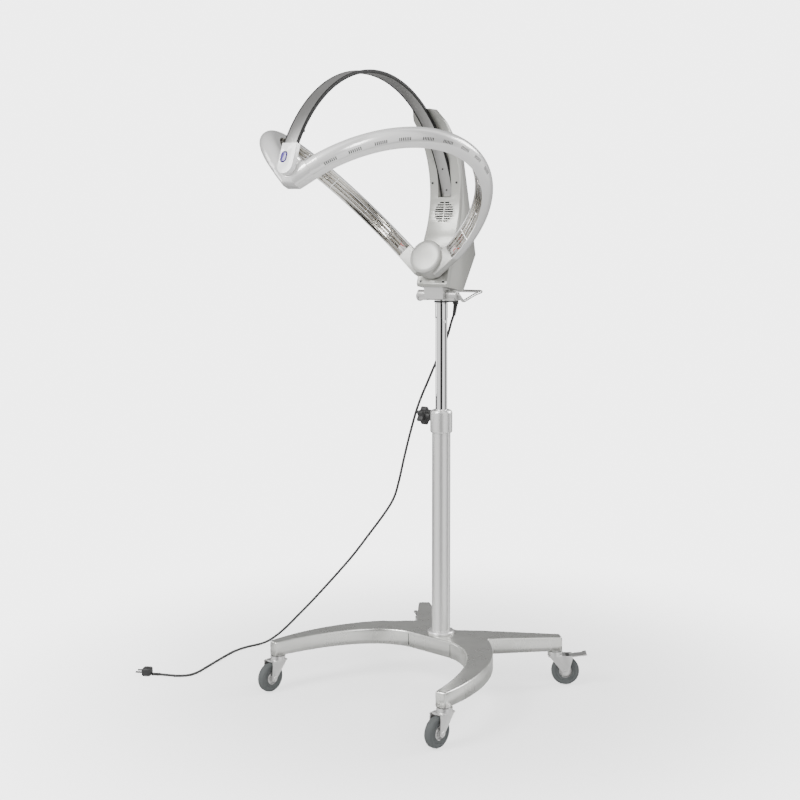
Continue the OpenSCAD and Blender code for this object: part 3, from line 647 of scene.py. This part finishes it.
def make_base_shell():
    """One welded shell: centre, two curved front legs and two straight rear legs."""
    bm = bmesh.new()

    def point(x, y):
        away = max(0.0, (-y - 50) / 300) if y < 0 else max(0.0, (math.hypot(x, y) - 110) / 225)
        return bm.verts.new((x * MM, y * MM, HUB_TOP - (HUB_TOP - LEG_TOP) * min(away, 1.0)))

    def leg(one, other, steps, side):
        chains = [[point(x, y) for x, y in plan_points(edge, steps, side)] for edge in (one, other)]
        edges = [bm.edges.new(pair) for chain in chains for pair in zip(chain, chain[1:])]
        bmesh.ops.bridge_loops(bm, edges=edges)

    right_half = [HUB_FRONT, HUB_SIDE, HUB_BACK]
    bm.faces.new([point(x, y) for x, y in right_half] + [point(-x, y) for x, y in right_half[::-1]])
    for side in (1, -1):
        leg(FRONT_LEG_INSIDE, FRONT_LEG_OUTSIDE, 14, side)
        leg(REAR_LEG_OUTSIDE, REAR_LEG_INSIDE, 4, side)
    bmesh.ops.remove_doubles(bm, verts=bm.verts, dist=WELD)
    bmesh.ops.recalc_face_normals(bm, faces=bm.faces)
    if sum(f.normal.z for f in bm.faces) < 0:
        bmesh.ops.reverse_faces(bm, faces=bm.faces)
    rim = [e for e in bm.edges if len(e.link_faces) == 1]
    for made in bmesh.ops.extrude_edge_only(bm, edges=rim)["geom"]:
        if isinstance(made, bmesh.types.BMVert):
            made.co.z = LEG_BOTTOM
    bmesh.ops.recalc_face_normals(bm, faces=bm.faces)
    round_edges(bm, creases(bm.edges, 0.6), 5.5 * MM, 5)
    shell = place_piece(bm, "base_shell", BASE_METAL, "base",
                        ("base_hub", "front_leg_left", "front_leg_right", "rear_leg_left",
                         "rear_leg_right"), smooth=35)
    wall = shell.modifiers.new("wall", "SOLIDIFY")
    wall.thickness = BASE_WALL
    wall.offset = -1


def make_base_details():
    # Thin near-black strips where the leg walls meet the hub's front face: painted shade in the seam
    # where the wall steps in.
    seam_shade = bmesh.new()
    for side in (-1, 1):
        add_box(seam_shade, (side * 74 * MM, -49.9 * MM, 0.1155), (1.7 * MM, 0.8 * MM, 31 * MM))
    place_piece(seam_shade, "base_seam_shade", TRIM_AND_SHADE, "base", ())

    under = bmesh.new()
    for side in (-1, 1):
        for x, y in (FRONT_STEM, REAR_STEM):
            add_disc(under, (side * x * MM, y * MM, 0.0975), 13 * MM, 5 * MM, bevel=0.8 * MM)
            add_disc(under, (side * x * MM, y * MM, 0.108), 10 * MM, 22 * MM)
    place_piece(under, "stem_sockets", ZINC, "base", ())

    ribs = bmesh.new()
    add_disc(ribs, (0, 0, 0.099), 45 * MM, 8 * MM, bevel=1 * MM)
    for a in (45, 135, 225, 315):
        add_box(ribs, (0, 0, 0), (34 * MM, 4 * MM, 30 * MM),
                place=turn("Z", a) @ shift(46 * MM, 0, 0.113))
    place_piece(ribs, "base_ribs", BASE_METAL, "base", ())


make_base_shell()
make_base_details()
eased("caster_stems", "stem_washers", ZINC, "base", 0.6)
eased("column_flange", "weld_flange", COLUMN, "base", 1.5, 4)

# ---------- casters ----------

FRONT_TRAIL, REAR_TRAIL = 270, 40       # degrees from +X that a right-hand wheel trails at
WHEEL_TRAIL, WHEEL_RADIUS = 28 * MM, 38 * MM
CASTERS = {"fl": ("front_left", -1, FRONT_STEM, FRONT_TRAIL),
           "fr": ("front_right", 1, FRONT_STEM, FRONT_TRAIL),
           "rl": ("rear_left", -1, REAR_STEM, REAR_TRAIL),
           "rr": ("rear_right", 1, REAR_STEM, REAR_TRAIL)}


def caster_frame(side, stem, trail):
    """Stem axis at the origin, wheel trailing along +X, floor at Z = 0."""
    x, y = stem
    return shift(side * x * MM, y * MM, 0) @ turn("Z", trail if side > 0 else 180 - trail)


def lathed(half, steps):
    """A turned part that is the same on both faces, from (radius, height) of its upper half."""
    lower = [(r, -h) for r, h in half[::-1] if h > 0]
    return spun([(r * MM, 0, h * MM) for r, h in half + lower], steps)


def make_caster(tag):
    name, side, stem, trail = CASTERS[tag]
    here = caster_frame(side, stem, trail)
    axle = here @ shift(WHEEL_TRAIL, 0, WHEEL_RADIUS) @ turn("X", 90)
    tread = [(24, 10.05), (18.2, 10.05), (17.6, 10.4), (18.0, 10.9), (24, 11.2), (25.2, 10.5),
             (26.2, 10.5), (27.2, 11.5), (32, 11.6), (35.5, 9.6), (37.2, 6.6), (37.9, 3), (38, 0)]
    place_piece(lathed(tread, 72), "tyre_" + tag, TYRE, "wheel_" + tag, ("tyre_" + name,),
                axle, smooth=25, recalc=True)
    dish = [(4.05, 13), (8.4, 13), (9, 12.4), (9.2, 8), (11, 6.2), (18, 5.6), (20.6, 8.4),
            (21.4, 9.9), (23.4, 10), (24, 9.6)]
    rim = lathed(dish, 60)
    for turned in range(0, 360, 72):
        for face in (-1, 1):
            add_box(rim, (14.4 * MM, 0, face * 6.2 * MM), (10 * MM, 2.4 * MM, 1.6 * MM), 0.5 * MM,
                    1, turn("Z", turned))
    place_piece(rim, "rim_" + tag, RIM, "wheel_" + tag, ("rim_" + name,), axle,
                recalc=True)
    eased("fork_" + name, "fork_" + tag, ZINC, "fork_" + tag, 0.9)
    race = bmesh.new()
    add_disc(race, (0, 0, 0.0885), 17 * MM, 5 * MM, here, bevel=1.2 * MM)
    place_piece(race, "swivel_race_" + tag, ZINC, "fork_" + tag, ())


for tag in CASTERS:
    make_caster(tag)
eased("brake_pedal_left", "pedal_rl", ZINC, "pedal_rl", 0.7)
eased("brake_pedal_right", "pedal_rr", ZINC, "pedal_rr", 0.7)

# ---------- column ----------

eased("column_collar", "collar_moulding", COLUMN, "base", 1.2, 4)
eased("star_knob", "lobed_knob", BLACK, "clamp_knob", 1.6, 3, 35)
dress("column_tube", COLUMN)
dress("mast_tube", CHROME)
eased("mast_sleeve", "mast_ferrule", CHROME, "mast", 0.8)
eased("cord_outlet", "cord_bracket", BLACK, "mast", 0.8)

# ---------- yoke and handle ----------

eased("yoke", "yoke_casting", ALLOY, "swivel_yoke", 1.6, 4)
dress("tilt_shaft", CHROME)
eased("tilt_knuckle", "tilt_casting", ALLOY, "head", 2.2, 4)


def make_handle():
    """Bent rod through the yoke; the half on +X is drawn and mirrored."""
    half = [(50, -18, 1062), (60, -18, 1062), (64.5, -17, 1060.5), (67, -14, 1055),
            (68, -9, 1049), (68, -2, 1046), (68, 8, 1046.5), (66, 30, 1051), (64, 70, 1060),
            (64, 100, 1065), (62.5, 109, 1066), (58, 115.5, 1066.8), (50, 119, 1067),
            (40, 119, 1067)]
    line = [Vector(p) * MM for p in half]
    line += [Vector((-p.x, p.y, p.z)) for p in line[::-1]]
    place_piece(tube(catmull(line, 5), 3.98 * MM, 6), "handle_rod", SATIN, "swivel_yoke",
                ("grab_handle",), HEAD)
    ends = bmesh.new()
    for side in (-1, 1):
        add_disc(ends, (side * 59.6 * MM, -18 * MM, 1.062), 7 * MM, 3 * MM, lie=turn("Y", 90),
                 bevel=0.8 * MM)
    place_piece(ends, "handle_ferrules", SATIN, "swivel_yoke", (), HEAD)


make_handle()

# ---------- housing ----------

eased("rear_shell", "housing_back", HOUSING, "head", 2.4, 4, 20)
eased("front_cover", "housing_front", HOUSING, "head", 1.1, 3)
dress("cover_screws", SCREW)
dress("fan_frame", BLACK)
dress("fan_rotor", BLACK)
dress("drive_motor", ZINC)
dress("drive_pinion", GEAR)
dress("spin_gear", GEAR)
dress("circuit_board", BOARD)


def make_screw_heads():
    bm = bmesh.new()
    for side in (-1, 1):
        for x, y, z in ((37, 14.9, 1362), (35, -52, 1098)):
            add_disc(bm, (side * x * MM, y * MM, z * MM), 3.1 * MM, 1.4 * MM, lie=turn("X", 90),
                     segments=24, bevel=0.4 * MM)
    place_piece(bm, "cover_screw_heads", SCREW, "head", (), HEAD)


make_screw_heads()

# ---------- control panel ----------

LEAN = math.atan2(57, 215)      # of the housing's back
BACK_EDGE = (75, 1429)          # its upper edge, (y, z)
PANEL_Z = 1275
PANEL_Y = BACK_EDGE[0] + (BACK_EDGE[1] - PANEL_Z) * math.tan(LEAN)
ON_PANEL = (HEAD @ shift(0, PANEL_Y * MM, PANEL_Z * MM)
            @ Matrix.Rotation(LEAN - math.pi / 2, 4, "X"))


def make_panel():
    """Display with four level bars, a row of lamps, two keys and the power rocker."""
    eased("control_panel", "panel_plate", PANEL, "head", 0.8)
    window = bmesh.new()
    add_box(window, (0, -24 * MM, 3.2 * MM), (34 * MM, 24 * MM, 1.4 * MM), 0.5 * MM, 2, ON_PANEL)
    place_piece(window, "display_window", DISPLAY, "head", ())
    bars = bmesh.new()
    for i, tall in enumerate((5, 8, 6, 9)):
        add_box(bars, ((-9 + 6 * i) * MM, (-20.5 - tall / 2) * MM, 3.95 * MM),
                (3 * MM, tall * MM, 0.12 * MM), place=ON_PANEL)
    place_piece(bars, "display_bars", WHITE, "head", ())
    lamps = bmesh.new()
    for i in (-1, 0, 1):
        add_disc(lamps, (i * 9 * MM, 13 * MM, 3.2 * MM), 1.4 * MM, 1.2 * MM, ON_PANEL, bevel=0.3 * MM,
                 segments=20)
    place_piece(lamps, "panel_lamps", LENS, "head", ())
    eased("button_start", "start_key_cap", WHITE, "start_key", 0.6)
    eased("button_timer", "timer_key_cap", WHITE, "timer_key", 0.6)
    eased("power_switch", "rocker_cap", BLACK, "rocker", 0.6)


make_panel()

# ---------- overhead band ----------

BAND_FRAME = HEAD @ shift(0, -340 * MM, 1234.5 * MM) @ turn("Z", 90) @ turn("X", 90)
BAND_RADIUS, BAND_HALF = 386 * MM, 17.4 * MM
BAND_ENDS = (13.8, 150.3)       # degrees, from the housing to the pivot cap


def band_arc(half_width, half_thick, corner, offset=0.0):
    """A flat strip bent to the band's arc, with rounded edges, offset across the band."""
    corners = []
    for cx, cz, start in ((half_thick, half_width, 0), (-half_thick, half_width, 90),
                          (-half_thick, -half_width, 180), (half_thick, -half_width, 270)):
        for k in range(4):
            a = math.radians(start + 30 * k)
            corners.append((BAND_RADIUS + cx + corner * (math.cos(a) - math.copysign(1, cx)),
                            offset + cz + corner * (math.sin(a) - math.copysign(1, cz))))
    return swept_arc(corners, *BAND_ENDS, 120)


def make_band():
    """Grey strip with a black trim along each edge, a clip near its front end and two screws."""
    place_piece(band_arc(BAND_HALF, 3.6 * MM, 1.0 * MM), "band_strip", BAND, "head",
                ("overhead_band",), BAND_FRAME)
    for side, tag in ((-1, "left"), (1, "right")):
        place_piece(band_arc(1.6 * MM, 4.4 * MM, 0.8 * MM, side * BAND_HALF), "band_edge_" + tag,
                    TRIM_AND_SHADE, "head", (), BAND_FRAME)
    clip = bmesh.new()
    at = math.radians(143.8)
    add_box(clip, (380.0 * MM * math.cos(at), 380.0 * MM * math.sin(at), 0.012),
            (5 * MM, 11 * MM, 9 * MM), 1.2 * MM, 3)
    for degrees in (16.5, 25.4):
        a = math.radians(degrees)
        add_disc(clip, (381.6 * MM * math.cos(a), 381.6 * MM * math.sin(a), 0), 2.2 * MM, 2.4 * MM,
                 lie=Matrix.Rotation(a, 4, "Z") @ turn("Y", 90), segments=20, bevel=0.5 * MM)
    place_piece(clip, "band_fixings", SCREW, "head", (), BAND_FRAME)


make_band()
eased("tip_cap", "pivot_cap", WHITE, "head", 2.2, 4)
eased("sensor_lens", "sensor_window", LENS, "head", 1.6, 4)


def make_sensor_pocket():
    """Near-black flat oval on the floor of the sensor's pocket, on the front of the pivot cap:
    painted shade in the gap around the lens.
    """
    radius, straight, thick = 8.9 * MM, 10 * MM, 0.9 * MM
    bm = bmesh.new()
    for end in (-1, 1):
        add_disc(bm, (0, end * straight / 2, 0), radius, thick, segments=40)
    add_box(bm, (0, 0, 0), (2 * radius, straight, thick))
    place_piece(bm, "sensor_pocket_shade", TRIM_AND_SHADE, "head", (),
                SPIN @ shift(-8 * MM, 0, -357.9 * MM))


make_sensor_pocket()

# ---------- ring ----------

SLOT_GROUPS = [77.5 + 10.6 * k for k in range(9)]   # degrees, the middle of each group
SLOT_STEP = 0.4                                     # degrees, a slot or the wall beside it
SLOT_REACH = 6                                      # steps from a group's middle to its last slot
SLOT_INNER, SLOT_LOW, SLOT_HIGH = 328 * MM, 17.2 * MM, 20.8 * MM
SLOT_DEPTH = 1.8 * MM
SHELL_WALL = 2.5 * MM


def shell_points(inset):
    """Section of the arm: straight cheeks and a round back, open toward the head."""
    half, out, knee = ARM_HALF - inset, ARM_OUT - inset, ARM_IN + 16 * MM
    curve = []
    for i in range(-9, 10):
        t = math.pi / 2 * i / 9
        curve.append((knee + (out - knee) * math.cos(t), half * math.sin(t)))
    return [(ARM_IN, -half)] + curve + [(ARM_IN, half)]


def make_arm(side, tag):
    """Curved shell with groups of vent slots along its outer flank; each slot is a shallow recess
    with painted shade on its floor and walls.
    """
    outline = shell_points(0) + shell_points(SHELL_WALL)[::-1]
    bm = swept_arc(outline, ARM_FROM, ARM_TO, round((ARM_TO - ARM_FROM) / SLOT_STEP))
    slots = []
    for face in bm.faces:
        c = face.calc_center_median()
        on_flank = (SLOT_LOW <= c.z * side <= SLOT_HIGH and math.hypot(c.x, c.y) >= SLOT_INNER
                    and face.normal.z * side >= 0.3)
        if not on_flank:
            continue
        angle = math.degrees(math.atan2(c.y, c.x))
        for middle in SLOT_GROUPS:
            nearby = round((angle - middle) / SLOT_STEP)
            if abs(nearby) <= SLOT_REACH and nearby % 2 == 0:
                slots.append(face)
    # Each slot is a shallow recess. Its floor and walls take the near-black second material: painted
    # shade for the dark inside of the arm seen through the vents.
    for face in bmesh.ops.extrude_discrete_faces(bm, faces=slots)["faces"]:
        bmesh.ops.translate(bm, vec=-face.normal * SLOT_DEPTH, verts=list(face.verts))
        face.material_index = 1
        for edge in face.edges:
            for wall in edge.link_faces:
                wall.material_index = 1
    piece = place_piece(bm, "arm_cover_" + tag, PEARL, "ring", ("arm_shell_" + tag,),
                        arm_frame(side), smooth=35)
    # The near-black second material is painted shade in the slots.
    piece.data.materials.append(TRIM_AND_SHADE)


def arc_points(radius, first, last, steps, height=0.0):
    line = []
    for i in range(steps + 1):
        a = math.radians(first + (last - first) * i / steps)
        line.append(Vector((radius * math.cos(a), radius * math.sin(a), height)))
    return line


def make_reflector(side, tag):
    """Thin polished trough that lines the arm."""
    half = ARM_HALF - SHELL_WALL
    outline = []
    for depth, wide in ((18.5 * MM, half), (17.0 * MM, half - 1.5 * MM)):
        curve = [(ARM_IN + 8 * MM + depth * math.cos(math.radians(t)),
                  wide * math.sin(math.radians(t))) for t in range(-90, 91, 10)]
        curve = [(ARM_IN + 3 * MM, -wide)] + curve + [(ARM_IN + 3 * MM, wide)]
        outline += curve if wide == half else curve[::-1]
    bm = swept_arc(outline, ARM_FROM + 1, ARM_TO - 1, 110)
    place_piece(bm, "trough_" + tag, POLISHED, "ring", ("reflector_" + tag,),
                arm_frame(side), smooth=35)


def make_heater(side, tag):
    """Quartz tube with its wound filament, a ceramic holder at each end and a lead at the hub."""
    radius, coil_radius = ARM_IN + 13 * MM, 2.3 * MM
    here = arm_frame(side)
    place_piece(tube(arc_points(radius, ARM_FROM + 4, ARM_TO - 4, 120), 5 * MM, 4), "quartz_" + tag,
                QUARTZ, "ring", ("heater_" + tag,), here, smooth=60)
    coil = []
    turns, per_turn = 190, 8
    for i in range(turns * per_turn + 1):
        a = math.radians(ARM_FROM + 6 + (ARM_TO - ARM_FROM - 12) * i / (turns * per_turn))
        b = 2 * math.pi * i / per_turn
        r = radius + coil_radius * math.cos(b)
        coil.append(Vector((r * math.cos(a), r * math.sin(a), coil_radius * math.sin(b))))
    place_piece(tube(coil, 0.45 * MM, 0), "coil_" + tag, FILAMENT, "ring", (), here,
                smooth=60)
    ends = bmesh.new()
    for angle in (ARM_FROM + 2.2, ARM_TO - 2.2):
        add_box(ends, (radius, 0, 0), (14 * MM, 20 * MM, 16 * MM), 1.5 * MM, 2, turn("Z", angle))
    place_piece(ends, "lamp_holders_" + tag, CERAMIC, "ring", (), here)
    lead = [Vector(p) * MM for p in ((0, -9, 6), (-6, -6, 8), (-8, 0, 5), (-7, 6, 7), (0, 10, 9))]
    wire = tube(catmull(lead, 6), 1.3 * MM, 3)
    place_piece(wire, "lamp_lead_" + tag, RED, "ring", (),
                here @ turn("Z", ARM_FROM + 3.2) @ shift(radius - 3 * MM, 0, 0), smooth=60)


def make_guard():
    """Three wires along the mouth of each arm, and flat brackets across it."""
    radius = ARM_IN + 2 * MM
    bm = bmesh.new()
    for side in (-1, 1):
        here = arm_frame(side)
        for height in (-9 * MM, 0, 9 * MM):
            mesh = tube_mesh(arc_points(radius, ARM_FROM, ARM_TO, 140, height), 1 * MM, 2)
            mesh.transform(here)
            bm.from_mesh(mesh)
            bpy.data.meshes.remove(mesh)
        for angle in (30, 45, 67, 90, 112, 135, 150):
            add_box(bm, (radius, 0, 0), (1.4 * MM, 2.4 * MM, 2 * (ARM_HALF - SHELL_WALL)),
                    0.3 * MM, 1, here @ turn("Z", angle))
    place_piece(bm, "guard_grille", CHROME, "ring", ("guard_wires",))


for side, tag in ((-1, "left"), (1, "right")):
    make_arm(side, tag)
    make_reflector(side, tag)
    make_heater(side, tag)
make_guard()
eased("hub_body", "hub_casting", HUB, "ring", 2.5, 4, 30)
eased("ring_nose", "nose_casting", PEARL, "ring", 4.0, 5, 30)


def make_hub_cap():
    """Slightly domed disc on the front of the hub; (part of its radius, depth in mm)."""
    radius = 46 * MM
    line = [(radius * out, 0, depth * MM) for out, depth in (
        (0, 0), (0.4, 0.2), (0.75, 0.8), (0.92, 1.8), (0.985, 3.4), (1, 5), (1, 6), (0, 6))]
    place_piece(spun(line, 96), "hub_disc", HUB, "ring", ("hub_cap",),
                SPIN @ shift(0, 0, 287 * MM), smooth=30, recalc=True)


make_hub_cap()
